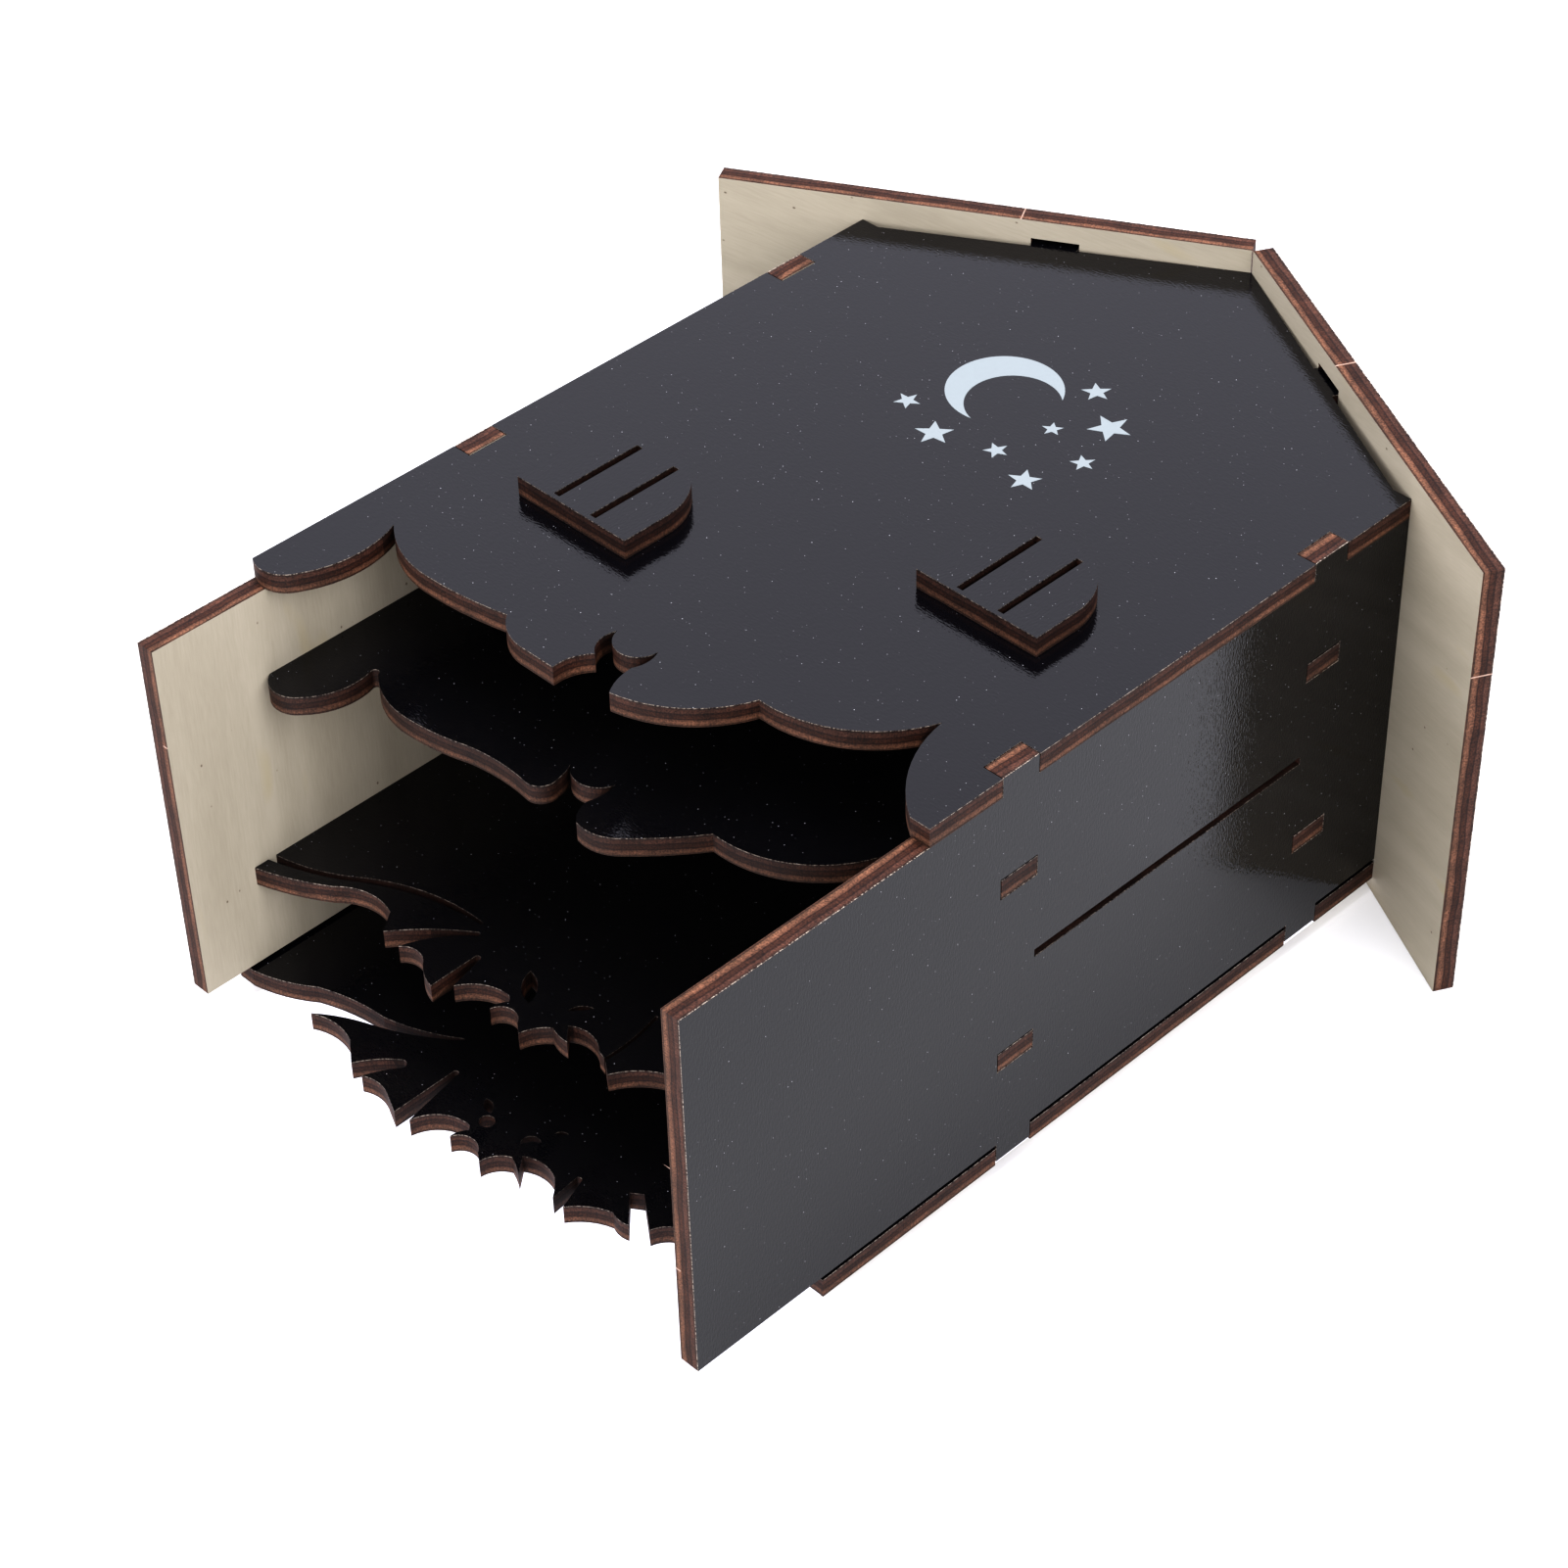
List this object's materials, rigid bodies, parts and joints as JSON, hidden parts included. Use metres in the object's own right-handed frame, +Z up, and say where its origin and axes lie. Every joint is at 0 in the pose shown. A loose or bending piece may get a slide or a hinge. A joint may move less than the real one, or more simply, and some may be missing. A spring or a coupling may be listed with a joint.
{
  "type": "bat box",
  "caption": "Gabled bat box of slotted board, open below, with partitions and panels cut to bat-wing bottom edges, an overhanging pitched roof and small barred plates on the front.",
  "frame": {"origin": "middle of the overall width and depth, at the level of the side panels' feet", "axes": "+X to the right seen from the front, +Y from the front panel to the back panel, +Z up to the ridge"},
  "size_m": [0.233, 0.119, 0.2673],
  "materials": {
    "panel_board": "three-ply board, satin black outer face, bare inner face, laser-burnt brown edges",
    "baffle_board": "three-ply board, satin black front face, bare rear face, laser-burnt brown edges",
    "side_board": "three-ply board, satin black outer face, bare cream inner face, laser-burnt brown edges",
    "roof_board": "three-ply board, bare cream underside, satin black top, laser-burnt brown edges",
    "pad_board": "three-ply board, satin black face, laser-burnt brown edges"
  },
  "bodies": {
    "root": {"front_panel": "panel_board", "baffle_front": "baffle_board", "baffle_rear": "baffle_board", "back_panel": "panel_board", "side_left": "side_board", "side_right": "side_board", "roof_left": "roof_board", "roof_right": "roof_board", "pad_left": "pad_board", "pad_right": "pad_board"}
  },
  "joints": []
}
